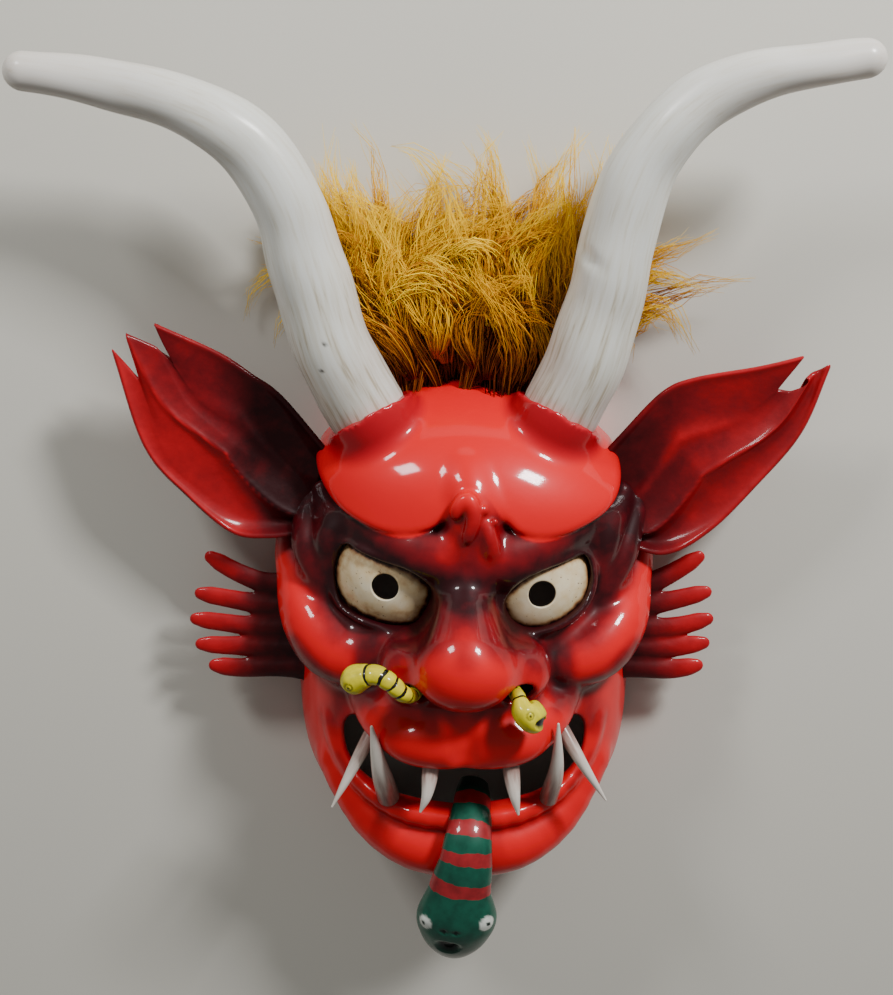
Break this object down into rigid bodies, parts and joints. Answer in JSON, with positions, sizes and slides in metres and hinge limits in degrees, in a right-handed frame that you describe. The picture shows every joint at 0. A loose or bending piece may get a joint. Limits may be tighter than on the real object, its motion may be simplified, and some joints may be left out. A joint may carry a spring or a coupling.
{
  "type": "diablada mask",
  "caption": "Horned red devil dance mask with bulging eyes, bat-like ears, fangs, a shaggy hair crest and painted snakes at the nose and mouth.",
  "frame": {"origin": "centre of the whole mask's box, on the plane of the back rim that the mask lies on", "axes": "+Z out of the face, +Y from the chin towards the horns, +X to the right as the face is looked at"},
  "size_m": [0.5426, 0.6305, 0.1678],
  "materials": {
    "red_enamel": "gloss",
    "aged_white": "satin",
    "horn_white": "satin",
    "maroon_enamel": "gloss",
    "hair": "matte",
    "yellow_enamel": "gloss",
    "green_enamel": "gloss",
    "fang_white": "gloss"
  },
  "bodies": {
    "root": {"face_shell": "red_enamel", "eye_left": "aged_white", "eye_right": "aged_white", "horn_left": "horn_white", "horn_right": "horn_white", "ear_left": "maroon_enamel", "ear_right": "maroon_enamel", "cheek_fin_left": "maroon_enamel", "cheek_fin_right": "maroon_enamel", "hair_crest": "hair", "nose_snake_left": "yellow_enamel", "nose_snake_right": "yellow_enamel", "tongue_snake": "green_enamel", "fang_upper_outer_left": "fang_white", "fang_upper_outer_right": "fang_white", "fang_upper_inner_left": "fang_white", "fang_upper_inner_right": "fang_white", "fang_lower_left": "fang_white", "fang_lower_right": "fang_white"}
  },
  "joints": []
}
